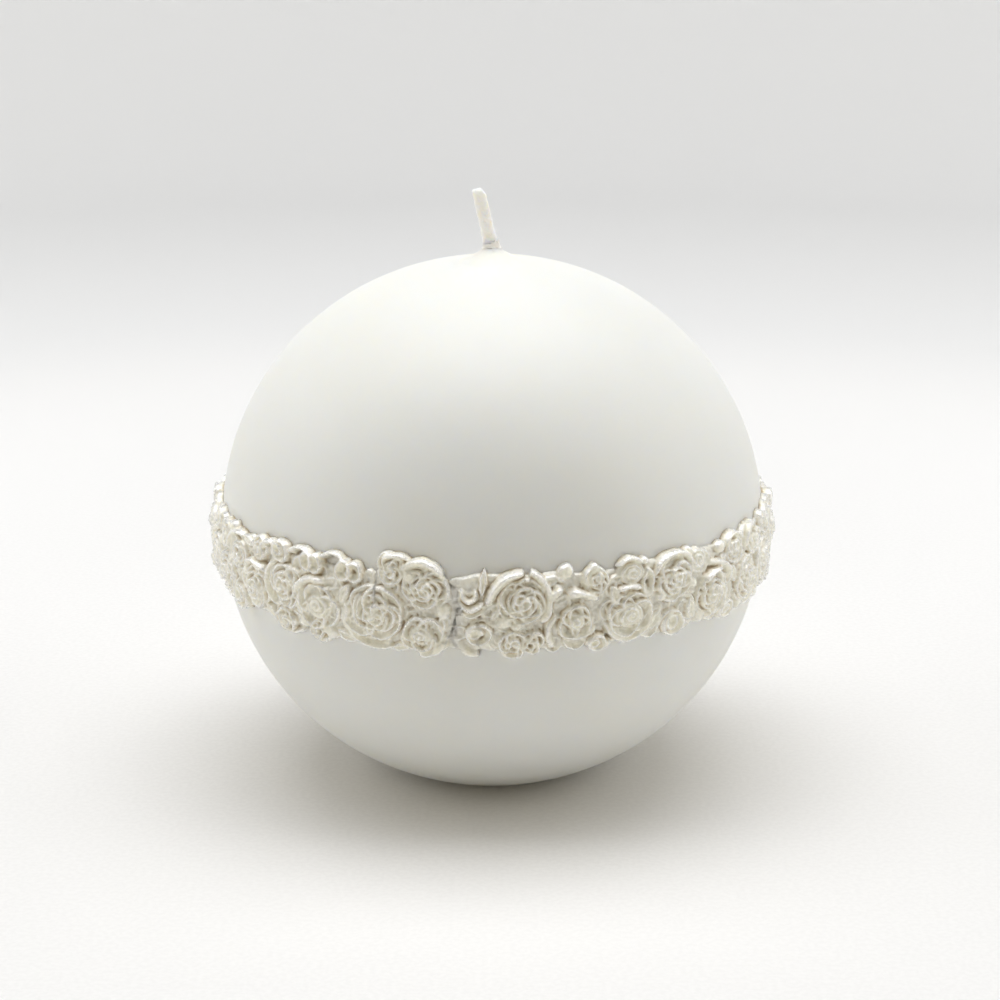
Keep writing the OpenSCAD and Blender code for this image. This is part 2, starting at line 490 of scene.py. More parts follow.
@dataclass
class DippedCoat:
    """The hard white coat over the ball, with the neck that it makes round the wick."""

    form: BallForm
    neck_radius: float = 1.75
    neck_top: float = 2.8
    foot: float = 7.5
    channel: float = 1.6
    around: int = 256
    ball_steps: int = 229
    neck_steps: int = 24
    wave: Waviness = field(default_factory=lambda: Waviness(7))

    def outline(self) -> Array:
        """Gives the coat's section as a closed line of (radius, height), outside first."""
        f = self.form
        start = math.asin((f.base_radius - f.pole_drop) / f.arc)
        stop = math.pi - math.asin((self.foot - f.pole_drop) / f.arc)
        angles = np.linspace(start, stop, self.ball_steps + 1)
        ball = [(f.pole_drop + f.arc * math.sin(t), f.middle - f.arc * math.cos(t)) for t in angles]
        foot = ball[-1]
        top = f.pole + self.neck_top
        neck = []
        for k in range(1, self.neck_steps + 1):
            t = k / self.neck_steps
            r = foot[0] + (self.neck_radius - foot[0]) * t
            z = foot[1] + (top - foot[1]) * (0.92 * t**1.35 + 0.08 * t**5)
            neck.append((r, z))
        mouth = [(self.neck_radius - 0.12, top + 0.1), (self.channel + 0.05, top + 0.08), (self.channel, top - 0.2)]
        inner = f.arc - f.coat
        join = f.middle + math.sqrt(inner**2 - (self.channel - f.pole_drop) ** 2)
        turn_in = math.pi - math.asin((self.channel - f.pole_drop) / inner)
        low = math.acos(f.middle / inner)
        back = np.linspace(turn_in, low, 60)
        inside = [(f.pole_drop + inner * math.sin(t), max(f.middle - inner * math.cos(t), 0.0)) for t in back]
        base = [(f.base_radius - 0.9, 0.0), (f.base_radius - 0.35, 0.03)]
        return np.array([*base, *ball[1:], *neck, *mouth, (self.channel, join + 0.1), *inside])

    def build(self) -> bpy.types.Object:
        """Makes the coat, with the slight unevenness of dipping."""
        line = self.outline()
        turn = np.linspace(0, 2 * math.pi, self.around, endpoint=False)
        r, t = np.meshgrid(line[:, 0], turn, indexing="ij")
        z = np.repeat(line[:, 1][:, None], self.around, axis=1)
        x, y = r * np.sin(t), -r * np.cos(t)
        outside = np.arange(len(line)) < 2 + self.ball_steps + self.neck_steps
        calm = outside[:, None] * smooth_step(0.0, 6.0, z)
        swell = 0.09 * self.wave.at(x + 300, y + 0.7 * z, 34.0) + 0.05 * self.wave.at(z + 0.6 * x, y + 200, 19.0)
        swell += 0.012 * self.wave.at(x + 1.3 * z, y - z + 300, 5.0)
        neck = smooth_step(self.form.pole + 0.6, self.form.pole + 2.6, z)
        swell = swell * (1 - neck) + neck * 0.16 * self.wave.at(t * 1.6 + 10, z, 1.1)
        grow = 1 + calm * swell / np.maximum(np.hypot(r, z - self.form.middle), 1.0)
        z = np.where(outside[:, None], self.form.middle + (z - self.form.middle) * grow, z)
        points = np.stack([x * grow, y * grow, np.maximum(z, 0.0)], axis=-1).reshape(-1, 3) * MM
        quads = grid_quads(len(line), self.around, wrap_rows=True, wrap_columns=True)
        return face_mesh("dipped_coat", points, quads)


# ---------------------------------------------------------------- the garland


class Bloom(Enum):
    """Kinds of moulded flower."""

    ROSE = "rose"
    SPIRAL = "spiral rose"
    OPEN = "open rose"
    ROSETTE = "rosette"
    BUD = "bud"
    TWIN = "twin bud"
    NUB = "nub"


@dataclass(frozen=True)
class Flower:
    """One flower of the mould: degrees from the casting's left end, height and radius in millimetres, and its turn."""

    kind: Bloom
    along: float
    up: float
    radius: float
    turn: float = 0.0


@dataclass(frozen=True)
class Roll:
    """A rolled petal edge: an arc of thick wax, with its middle, radius, start and end in degrees, width and height."""

    along: float
    up: float
    radius: float
    start: float
    end: float
    width: float = 0.8
    lift: float = 2.4
    squash: float = 1.0


@dataclass(frozen=True)
class Leaf:
    """A pointed leaf with a groove down its middle."""

    along: float
    up: float
    length: float
    width: float
    turn: float
    lift: float = 2.0


NOWHERE = -9.0  # a height that never stands over the relief, in millimetres
BOLD_ROLL = 2.1  # rolled edges from this height up lie over the flowers, lower ones under them

R, S, O, T, B, W, N = Bloom.ROSE, Bloom.SPIRAL, Bloom.OPEN, Bloom.ROSETTE, Bloom.BUD, Bloom.TWIN, Bloom.NUB

FLOWERS: tuple[Flower, ...] = tuple(
    Flower(*f)
    for f in (
        (B, 4.4, -3.8, 2.3, 20), (N, 9.4, -1.0, 1.7), (N, 11.6, -2.0, 1.2), (T, 11.0, -6.0, 2.7, 10),
        (T, 14.8, -5.6, 2.2, 60), (R, 12.6, 3.0, 4.6, 200), (N, 19.6, 5.0, 1.3), (N, 21.2, 8.6, 1.7),
        (N, 20.2, 7.2, 0.9), (S, 23.0, -1.8, 3.4, 40), (T, 27.2, 6.4, 2.6, 0), (N, 25.4, 6.6, 1.4),
        (N, 26.6, 8.8, 1.2), (B, 27.4, -6.8, 1.7), (N, 29.4, -7.2, 1.1), (S, 34.6, 7.0, 2.7, 90), (N, 37.6, 9.2, 0.9),
        (S, 34.2, -1.8, 4.8, 150), (R, 44.7, 3.8, 4.3, 30), (N, 41.2, 1.0, 1.2), (B, 44.6, -5.4, 2.6, 180),
        (N, 49.4, 2.2, 1.3), (S, 51.0, 6.6, 2.5, 0), (N, 48.6, 8.6, 1.3), (R, 55.4, -1.6, 4.9, 100),
        (N, 52.2, -5.6, 1.6), (T, 63.0, 6.0, 3.1, 0), (N, 58.2, 7.4, 1.5), (B, 60.6, -6.6, 2.2),
        (R, 69.0, -2.2, 4.7, 60), (S, 72.0, 5.4, 3.1, 200), (N, 65.8, -7.0, 1.5), (O, 79.0, -1.6, 5.0, 15),
        (T, 80.0, 7.0, 2.5), (R, 87.4, 4.0, 3.9, 80), (T, 86.6, -5.4, 2.8, 30), (S, 95.4, -0.6, 5.0, 10),
        (B, 95.0, 7.4, 2.3), (R, 104.0, 4.6, 3.8, 150), (R, 103.4, -4.8, 3.3, 10), (O, 111.6, -0.6, 4.6, 45),
        (S, 112.0, 7.2, 2.3), (R, 119.4, -2.2, 4.4, 120), (T, 119.0, 6.0, 2.9), (R, 126.2, 4.0, 3.7, 20),
        (B, 126.0, -6.0, 2.5, 140), (R, 133.0, -1.6, 4.6, 75), (T, 134.4, 7.2, 2.4), (R, 142.6, 1.2, 4.6, 10),
        (T, 142.0, -6.6, 2.6), (B, 141.0, 8.0, 2.1), (W, 149.6, 7.2, 2.4, 20), (S, 151.4, -1.4, 4.9, 250),
        (T, 151.0, -7.0, 2.2), (N, 153.6, -6.8, 1.8), (W, 158.4, 7.2, 2.5, 0), (O, 164.0, -0.8, 6.2, 30),
        (T, 167.4, 8.8, 3.0, 0), (N, 171.0, 7.8, 1.9), (R, 174.2, 5.4, 4.4, 110), (S, 173.4, -4.4, 4.0, 300),
        (N, 177.6, 0.8, 1.6), (N, 147.2, -5.6, 1.5), (N, 129.6, 0.8, 1.4), (N, 98.6, -7.0, 1.6), (N, 74.6, -6.8, 1.7),
        (N, 90.6, -1.2, 1.3), (N, 107.6, 1.4, 1.2), (N, 115.4, 3.6, 1.3), (N, 122.6, 8.2, 1.4),
    )
)

ROLLS: tuple[Roll, ...] = tuple(
    Roll(*f)
    for f in (
        (2.6, 4.6, 1.5, 150, 395, 0.6, 2.2, 1.25), (2.6, 3.8, 2.7, 195, 345, 0.8, 2.6, 1.0),
        (2.7, 3.4, 3.8, 205, 330, 0.8, 1.9, 0.9), (3.8, -4.6, 4.4, 175, 275, 1.1, 1.7, 0.9),
        (13.6, 1.6, 8.2, 95, 172, 1.25, 3.3, 0.92), (12.4, 3.0, 6.0, -50, 72, 1.0, 2.7, 1.05),
        (13.4, 2.2, 4.4, 200, 330, 0.8, 2.5, 0.5), (23.2, -1.6, 6.0, 40, 108, 1.3, 3.1, 1.0),
        (20.4, 3.2, 2.4, 80, 200, 1.3, 2.8, 0.8), (22.6, 0.4, 6.4, 258, 318, 0.9, 2.3, 0.9),
        (19.6, -3.4, 2.4, 100, 260, 0.9, 2.2, 1.4), (24.6, -7.0, 4.6, 60, 130, 0.7, 1.8, 0.5),
        (34.6, 7.2, 3.3, 30, 150, 0.7, 2.4, 0.9), (34.2, -1.6, 5.6, 190, 350, 1.0, 2.3, 1.0),
        (34.2, -0.6, 5.0, 55, 125, 0.8, 3.0, 1.0), (38.4, 4.4, 1.3, -90, 270, 0.55, 1.9, 2.0),
        (44.8, 3.6, 5.6, 20, 160, 0.9, 2.6, 1.0), (44.0, -5.4, 3.4, 60, 200, 0.8, 2.0, 0.8),
        (55.4, -1.4, 6.6, 10, 100, 1.0, 2.6, 1.0), (56.4, -1.0, 4.6, 70, 150, 0.9, 3.2, 1.0),
        (63.4, 6.2, 3.9, 20, 170, 0.9, 2.3, 0.8), (69.0, -2.0, 5.6, 200, 330, 0.9, 2.2, 1.0),
        (72.0, 5.6, 4.0, 60, 200, 0.9, 2.4, 0.9), (79.0, -1.6, 6.0, 120, 240, 1.0, 2.4, 1.0),
        (95.4, -0.6, 6.0, -40, 70, 1.0, 2.6, 1.0), (111.6, -0.4, 5.6, 100, 220, 1.0, 2.5, 1.0),
        (119.6, -2.2, 5.4, 250, 360, 0.9, 2.3, 1.0), (126.0, 4.0, 4.6, 60, 200, 0.9, 2.7, 0.9),
        (133.4, -0.6, 5.2, 40, 140, 1.1, 3.2, 0.9), (137.6, 7.0, 2.4, 40, 200, 0.9, 2.4, 0.9),
        (142.4, 1.4, 5.4, 120, 250, 0.9, 2.6, 1.0), (143.6, -6.6, 3.6, 200, 330, 0.8, 1.8, 0.7),
        (151.2, -1.2, 6.2, 70, 160, 1.2, 3.2, 0.9), (154.6, 7.6, 3.6, 40, 150, 0.9, 2.4, 0.7),
        (146.8, 7.6, 3.2, 30, 170, 0.9, 2.4, 0.7), (152.4, -1.6, 6.0, -30, 40, 0.8, 2.0, 1.0),
        (164.2, -1.0, 7.6, 170, 300, 0.9, 2.0, 0.95), (163.4, -0.4, 4.0, 120, 260, 0.6, 2.5, 1.0),
        (168.4, 9.4, 3.4, 30, 150, 1.0, 2.8, 0.7), (173.6, 5.6, 5.4, 20, 150, 1.2, 2.8, 0.95),
        (172.8, -3.2, 6.0, 268, 350, 1.2, 2.4, 0.95), (173.6, -5.2, 2.2, 150, 400, 0.6, 2.6, 1.0),
    )
)

LEAVES: tuple[Leaf, ...] = tuple(
    Leaf(*f)
    for f in (
        (5.2, 7.0, 5.6, 1.5, 84, 2.3), (7.6, 0.6, 3.2, 1.4, 60, 1.9), (18.0, 6.8, 4.4, 2.4, 20, 1.6),
        (31.0, 2.6, 4.4, 2.2, 110, 2.0), (39.8, -4.0, 4.8, 2.6, 60, 1.9), (49.4, -3.6, 4.6, 2.6, 100, 2.0),
        (57.8, 4.2, 4.6, 2.2, 40, 2.1), (63.0, 0.6, 4.4, 2.4, 120, 1.9), (75.8, 2.0, 4.6, 2.4, 70, 2.0),
        (83.8, 8.2, 4.4, 2.2, 10, 1.8), (91.6, -6.4, 4.8, 2.4, 30, 1.9), (99.6, 5.6, 4.6, 2.4, 100, 2.0),
        (107.6, -7.0, 4.6, 2.2, 170, 1.8), (115.6, -6.8, 4.6, 2.4, 20, 1.8), (122.8, 1.6, 4.2, 2.2, 80, 2.0),
        (130.0, 7.4, 4.6, 2.2, 160, 1.9), (137.8, -5.8, 4.8, 2.4, 140, 1.9), (146.6, -2.2, 4.0, 2.0, 100, 2.0),
        (157.4, 2.4, 4.6, 2.4, 60, 2.0), (157.6, -6.6, 4.6, 2.2, 160, 1.9), (169.6, -7.4, 4.6, 2.0, 10, 1.8),
        (177.2, -2.0, 3.6, 2.0, 95, 2.0),
    )
)


# Small round pips pressed into the flowers: degrees from the left end, height and radius.
PIPS: tuple[Point, ...] = (
    (11.0, -6.6, 0.5), (14.4, -6.2, 0.4), (4.8, -4.4, 0.5), (29.6, -6.0, 0.5), (19.0, -7.4, 0.35), (126.4, 4.4, 0.5),
    (151.6, -6.8, 0.55), (152.6, -7.6, 0.5), (157.6, 7.4, 0.4), (159.2, 7.2, 0.4), (173.8, -5.6, 0.6),
    (173.4, -6.8, 0.6), (140.6, 7.6, 0.4), (88.0, -5.6, 0.45), (62.2, 5.4, 0.5), (163.0, 2.6, 0.4),
    (162.0, -3.4, 0.45), (38.4, 4.4, 0.4),
)


@dataclass
class Mould:
    """The mould for half of the garland: a fine relief over the flat strip, from which both castings come."""

    length: float = 188.1
    reach: float = 13.0
    step: float = 0.1
    radius: float = 60.0
    ribbon: float = 0.75
    lip: float = 0.46
    wave: Waviness = field(default_factory=lambda: Waviness(21))

    def __post_init__(self) -> None:
        """Lays out the relief's grid and the ribbon on it."""
        self.u = np.arange(-3.0, self.length + 3.0, self.step)
        self.v = np.arange(-self.reach, self.reach, self.step)
        gu, gv = np.meshgrid(self.u, self.v, indexing="ij")
        self.gu = gu + 0.3 * self.wave.at(gu, gv, 3.1) + 0.1 * self.wave.at(gu + 50, gv, 1.1)
        self.gv = gv + 0.3 * self.wave.at(gu, gv + 90, 3.3) + 0.1 * self.wave.at(gu, gv + 40, 1.2)
        top = 8.3 + 0.7 * self.wave.at(gu, 0 * gv, 5.0)
        low = -7.7 + 0.5 * self.wave.at(gu, 0 * gv + 30, 4.0)
        inside = np.minimum(top - gv, gv - low)
        lumps = 0.22 * self.wave.at(gu, gv, 1.7) + 0.1 * self.wave.at(gu + 9, gv, 0.7)
        self.high = self.rounded(inside, self.ribbon + lumps, 0.9)

    @staticmethod
    def rounded(inside: Array, height: Array | float, edge: float) -> Array:
        """Rounds a slab off towards its rim.

        Args:
            inside: distance in from the rim.
            height: the slab's own height.
            edge: how far in the rounding reaches.

        Returns:
            Heights, below zero outside the rim.
        """
        t = np.clip(1 - inside / edge, 0.0, 1.0)
        return np.where(inside > 0, height * np.sqrt(1 - t * t), -0.3)

    def window(self, along: float, up: float, size: float) -> tuple[slice, slice, Array, Array]:
        """Picks the part of the relief round a feature.

        Args:
            along: degrees from the left end.
            up: millimetres over the middle line.
            size: how far round that point is needed, in millimetres.

        Returns:
            Two slices and the distances from the point.
        """
        cu = math.radians(along) * self.radius
        i = slice(*(int(k) for k in np.searchsorted(self.u, (cu - size - 0.5, cu + size + 0.5))))
        j = slice(*(int(k) for k in np.searchsorted(self.v, (up - size - 0.5, up + size + 0.5))))
        return i, j, self.gu[i, j] - cu, self.gv[i, j] - up

    def lay(self, i: slice, j: slice, height: Array) -> None:
        """Adds wax up to the given height."""
        self.high[i, j] = np.maximum(self.high[i, j], height)

    def press(self, along: float, up: float, radius: float, depth: float = 0.8) -> None:
        """Presses in a small round pip."""
        i, j, x, y = self.window(along, up, 2.5 * radius)
        self.high[i, j] -= depth * np.exp(-((x * x + y * y) / radius**2) ** 1.5)

    def petal(
        self, x: Array, y: Array, at: tuple[float, float], size: tuple[float, float],
        turn: float, base: float, rise: float,
    ) -> Array:
        """Shapes one cupped petal with a thick lip, steep on its outer side.

        Args:
            x: distances along the strip from the flower's middle.
            y: distances up the strip from the flower's middle.
            at: the petal's own middle.
            size: its half length, outwards, and half width.
            turn: the way it points, in radians.
            base: height of the cup's bottom.
            rise: height of the lip over that.

        Returns:
            Heights.
        """
        c, s = math.cos(turn), math.sin(turn)
        px, py = (x - at[0]) * c + (y - at[1]) * s, (y - at[1]) * c - (x - at[0]) * s
        ring = np.sqrt((px / size[0]) ** 2 + (py / size[1]) ** 2)
        out = (ring - 1) * (0.5 * (size[0] + size[1]))
        lip = 0.34 * rise * np.exp(-((out / self.lip) ** 2))
        cup = base + 0.66 * rise * np.minimum(ring, 1) ** 2.4 + lip + 0.18 * py / size[1]
        return np.where(out < 0, cup, cup - 1.1 * (out / (0.85 * self.lip)) ** 2)

    def whorl(
        self, x: Array, y: Array, radius: float, count: int, turn: float, base: float, rise: float, jitter: float
    ) -> Array:
        """Sets a ring of petals round a middle, each over the edge of the next."""
        high = np.full_like(x, NOWHERE)
        for k in range(count):
            way = turn + 2 * math.pi * k / count + 0.35 * math.sin(jitter + 2.3 * k)
            reach = radius * (0.46 + 0.07 * math.sin(jitter * 1.7 + 4.1 * k))
            size = (radius * (0.55 + 0.05 * math.sin(jitter + 3.7 * k)), radius * 0.66)
            at = (reach * math.cos(way), reach * math.sin(way))
            lift = base + 0.16 * math.sin(jitter * 3.1 + 1.9 * k)
            high = np.maximum(high, self.petal(x, y, at, size, way, lift, rise))
        return high

    def coil(self, x: Array, y: Array, radius: float, pitch: float, turn: float, base: float, dome: float) -> Array:
        """Winds a strip of wax round itself: rings that rise outwards and drop at their edges."""
        far = np.hypot(x, y)
        phase = far / pitch - np.arctan2(y, x) / (2 * math.pi) + turn / (2 * math.pi)
        part = phase - np.floor(phase)
        ring = part**1.2 * (1 - part**6) * 1.4
        body = base + dome * (1 - (far / radius) ** 2) + 0.75 * ring
        out = far - radius
        return np.where(out < 0, body, body - 1.5 * (out / 0.35) ** 2)

    def flower(self, f: Flower) -> None:
        """Lays one flower."""
        i, j, x, y = self.window(f.along, f.up, f.radius * 1.5 + 1)
        r, turn, odd = f.radius, math.radians(f.turn), f.along * 0.7 + f.up
        far = np.hypot(x, y)
        if f.kind in (Bloom.ROSE, Bloom.OPEN):
            wide = f.kind is Bloom.OPEN
            self.lay(i, j, self.whorl(x, y, r, 4 if wide else 5, turn, 0.75, 1.35, odd))
            self.lay(i, j, self.whorl(x, y, r * 0.62, 4, turn + 0.8, 1.2, 1.2, odd + 2))
            self.lay(i, j, self.whorl(x, y, r * 0.36, 3, turn + 0.3, 1.6 if wide else 1.85, 1.0, odd + 4))
        elif f.kind is Bloom.SPIRAL:
            if r > 3.0:
                self.lay(i, j, self.whorl(x, y, r, 4, turn, 0.8, 1.4, odd))
                self.lay(i, j, self.coil(x, y * 1.15, r * 0.62, 1.05, turn, 1.3, 1.0))
            else:
                self.lay(i, j, self.coil(x, y, r, 1.05, turn, 1.0, 0.9))
        elif f.kind is Bloom.ROSETTE:
            self.lay(i, j, self.whorl(x, y, r, 5, turn, 0.8, 1.3, odd))
            self.lay(i, j, self.whorl(x, y, r * 0.52, 3, turn + 0.5, 1.4, 1.0, odd + 1))
        elif f.kind is Bloom.BUD:
            self.lay(i, j, self.petal(x, y, (0, 0), (r, r * 0.92), turn, 1.2, 1.2))
            self.lay(i, j, self.petal(x, y, (-0.25 * r, 0.12 * r), (r * 0.52, r * 0.5), turn, 1.8, 0.7))
        elif f.kind is Bloom.TWIN:
            for side in (-0.5, 0.5):
                self.lay(i, j, self.petal(x, y, (side * r, 0), (r * 0.62, r * 0.8), 0.0, 1.3, 1.2))
        else:
            self.lay(i, j, np.where(far < r, 0.9 + 1.3 * np.sqrt(np.maximum(1 - (far / r) ** 2, 0)), NOWHERE))

    def roll(self, f: Roll) -> None:
        """Lays one rolled edge, thinner towards its ends."""
        i, j, x, y = self.window(f.along, f.up, f.radius * max(1.0, f.squash) + 2)
        y = y / f.squash
        middle, half = math.radians(f.start + f.end) / 2, math.radians(f.end - f.start) / 2
        away = np.arctan2(y, x) - middle
        away = np.abs(away - 2 * math.pi * np.round(away / (2 * math.pi)))
        taper = np.sqrt(np.clip(1 - (away / half) ** 4, 0, 1)) if half < math.pi else 1.0
        width = f.width * (0.45 + 0.55 * taper)
        out = (np.hypot(x, y) - f.radius) / width
        crest = 1.0 - np.where(out > 0, (out / 0.62) ** 2, (out / 1.25) ** 2)
        self.lay(i, j, np.where(away < half, 0.9 + (f.lift - 0.9) * taper * crest, NOWHERE))

    def leaf(self, f: Leaf) -> None:
        """Lays one leaf."""
        i, j, x, y = self.window(f.along, f.up, f.length)
        c, s = math.cos(math.radians(f.turn)), math.sin(math.radians(f.turn))
        px, py = x * c + y * s, y * c - x * s
        half = 0.5 * f.width * np.clip(1 - (2 * px / f.length) ** 2, 0, 1) ** 0.8
        across = np.abs(py) / np.maximum(half, 1e-3)
        body = 0.8 + (f.lift - 0.8) * (0.55 + 0.75 * across) * np.sqrt(np.clip(1 - across**4, 0, 1))
        self.lay(i, j, np.where((across < 1) & (half > 0), body, NOWHERE))

    def blur(self, field_: Array, passes: int) -> Array:
        """Softens a grid a little at each pass."""
        for _ in range(passes):
            padded = np.pad(field_, 1, mode="edge")
            beside = padded[2:, 1:-1] + padded[:-2, 1:-1] + padded[1:-1, 2:] + padded[1:-1, :-2]
            field_ = 0.5 * field_ + 0.125 * beside
        return field_

    def bed(self, count: int) -> None:
        """Crowds small petals over the ribbon, so that no bare ground is left between the flowers."""
        dice = np.random.RandomState(3)
        for _ in range(count):
            along, up = dice.uniform(0.5, 179.5), dice.uniform(-6.6, 7.4)
            size, turn = dice.uniform(1.2, 2.9), dice.uniform(0, 2 * math.pi)
            base, rise = dice.uniform(0.4, 0.8), dice.uniform(0.4, 0.9)
            i, j, x, y = self.window(along, up, 1.5 * size)
            self.lay(i, j, self.petal(x, y, (0, 0), (size, size * dice.uniform(0.6, 1.0)), turn, base, rise))

    def cut(self) -> None:
        """Fills the mould with every feature and softens it as a casting is."""
        self.bed(330)
        for leaf in LEAVES:
            self.leaf(leaf)
        for roll in ROLLS:
            if roll.lift < BOLD_ROLL:
                self.roll(roll)
        for flower in sorted(FLOWERS, key=lambda f: -f.radius):
            self.flower(flower)
        for roll in ROLLS:
            if roll.lift >= BOLD_ROLL:
                self.roll(roll)
        for pip in PIPS:
            self.press(*pip)
        lumps = 0.07 * self.wave.at(self.gu, self.gv, 0.9) + 0.04 * self.wave.at(self.gu, self.gv + 20, 0.42)
        self.high = self.blur(self.high, 3) + lumps * (self.high > 0.5)

    def marks(self) -> tuple[Array, Array]:
        """Finds hollows and crests of the relief: the masks for the garland's painted shade and painted highlight.

        Returns:
            Two grids of values from 0 to 1: how deep in the creases, where beige tint and painted shade go, and how far
                up on a crest, where pearl tint and a painted highlight go.
        """
        near, wide = self.blur(self.high, 10), self.blur(self.high, 90)
        crease_shade_and_tint = np.clip((near - self.high) * 4.0 + (wide - self.high) * 0.9, 0, 1)
        crest = np.clip((self.high - near) * 4.0 + (self.high - wide) * 0.9, 0, 1)
        return self.blur(crease_shade_and_tint, 2), self.blur(crest, 2)

    def edges(self) -> tuple[Array, Array]:
        """Finds the casting's upper and lower outline at each step along it."""
        solid = self.high > 0.12
        solid &= (np.abs(self.v) < self.reach - 0.3)[None, :]
        top = self.v[self.v.size - 1 - np.argmax(solid[:, ::-1], axis=1)]
        low = self.v[np.argmax(solid, axis=1)]
        for line in (top, low):
            for _ in range(4):
                line[1:-1] = 0.5 * line[1:-1] + 0.25 * (line[2:] + line[:-2])
        return top, low

    def sample(self, grid: Array, u: Array, v: Array) -> Array:
        """Reads a grid between its points."""
        x = np.clip((u - self.u[0]) / self.step, 0, len(self.u) - 1.001)
        y = np.clip((v - self.v[0]) / self.step, 0, len(self.v) - 1.001)
        i, j = x.astype(int), y.astype(int)
        fx, fy = x - i, y - j
        low = grid[i, j] * (1 - fx) + grid[i + 1, j] * fx
        return low * (1 - fy) + (grid[i, j + 1] * (1 - fx) + grid[i + 1, j + 1] * fx) * fy


@dataclass
class GarlandStrip:
    """One casting of the garland, bent round half of the ball."""

    mould: Mould
    form: BallForm
    side: str
    start: float
    gap: float = 0.01
    columns: int = 930
    rows: int = 92

    def ends(self, u: Array, reach: float) -> Array:
        """Tells how near each place along the strip is to either of its ends, 1 at the end itself."""
        return np.exp(-((u / reach) ** 2)) + np.exp(-(((u - math.pi * self.mould.radius) / reach) ** 2))

    def wander(self, u: Array, v: Array) -> Array:
        """Bends both ends of the strip alike, so that they butt along a crooked line."""
        return self.ends(u, 5.0) * (1.1 * np.sin(0.5 * v + 0.6) + 0.5 * np.sin(1.5 * v))

    def build(self) -> bpy.types.Object:
        """Casts the strip, closes it behind and bends it round the ball."""
        m = self.mould
        u = np.linspace(self.gap, math.pi * m.radius - self.gap, self.columns)
        top, low = m.edges()
        top, low = np.interp(u, m.u, top) + 0.12, np.interp(u, m.u, low) - 0.12
        near = self.ends(u, 0.8)
        top, low = top + (7.2 - top) * near, low + (-7.5 - low) * near
        share = np.linspace(0, 1, self.rows)
        gv = low[:, None] + (top - low)[:, None] * share[None, :]
        gu = u[:, None] + self.wander(u[:, None], gv)
        lift = np.maximum(m.sample(m.high, gu, gv), -0.1)
        far = math.pi * m.radius
        shared = 0.5 * (m.sample(m.high, 0 * gv + 1.0, gv) + m.sample(m.high, 0 * gv + far - 1.0, gv))
        lift += (np.maximum(shared, 0.8) - lift) * self.ends(u, 1.1)[:, None]
        lift[:, 0] = lift[:, -1] = -0.12
        # The creases and crests of the relief go onto the mesh as masks for the pearl finish's painted shade and
        # painted highlight.
        crease_shade_and_tint, crest = m.marks()
        marks = {"crease_shade_and_tint": m.sample(crease_shade_and_tint, gu, gv), "crest": m.sample(crest, gu, gv)}
        back_share = np.linspace(1, 0, 8)[1:-1]
        back_v = low[:, None] + (top - low)[:, None] * back_share[None, :]
        all_u = np.concatenate([gu, u[:, None] + self.wander(u[:, None], back_v)], axis=1)
        all_v = np.concatenate([gv, back_v], axis=1)
        all_lift = np.concatenate([lift, np.full_like(back_v, 0.2)], axis=1)
        turn = math.radians(self.start) + all_u / m.radius
        rings = self.form.place(turn, all_v, all_lift)
        values = {label: np.concatenate([grid, np.zeros_like(back_v)], axis=1) for label, grid in marks.items()}
        return capped_tube(f"garland_roses_{self.side}", rings, flip=True, marks=values)


# ---------------------------------------------------------------- the wick


@dataclass
class WickPath:
    """The line that the wick follows: upright through the candle, then bent over to one side above the neck."""

    bend_at: float
    lean: float = 13.2
    bend_radius: float = 9.0

    def at(self, run: Array) -> tuple[Array, Array, Array]:
        """Finds the line at distances past the start of the bend, in millimetres.

        Args:
            run: distances, below zero in the upright part.

        Returns:
            Sideways place, height, and the way it points as an angle from upright.
        """
        full = math.radians(self.lean)
        bent = np.clip(run / self.bend_radius, 0, full)
        past = np.maximum(run - self.bend_radius * full, 0)
        x = -self.bend_radius * (1 - np.cos(bent)) - past * np.sin(bent)
        z = self.bend_at + np.minimum(run, 0) + self.bend_radius * np.sin(bent) + past * np.cos(bent)
        return x, z, bent

    def rings(self, run: Array, x: Array, y: Array) -> Array:
        """Sets sections square to the line.

        Args:
            run: where each point is along the line.
            x: how far it is to the side.
            y: how far it is to the back.

        Returns:
            Places in metres, with a last axis of 3.
        """
        middle_x, middle_z, bent = self.at(run)
        return np.stack([middle_x + x * np.cos(bent), y, middle_z + x * np.sin(bent)], axis=-1) * MM


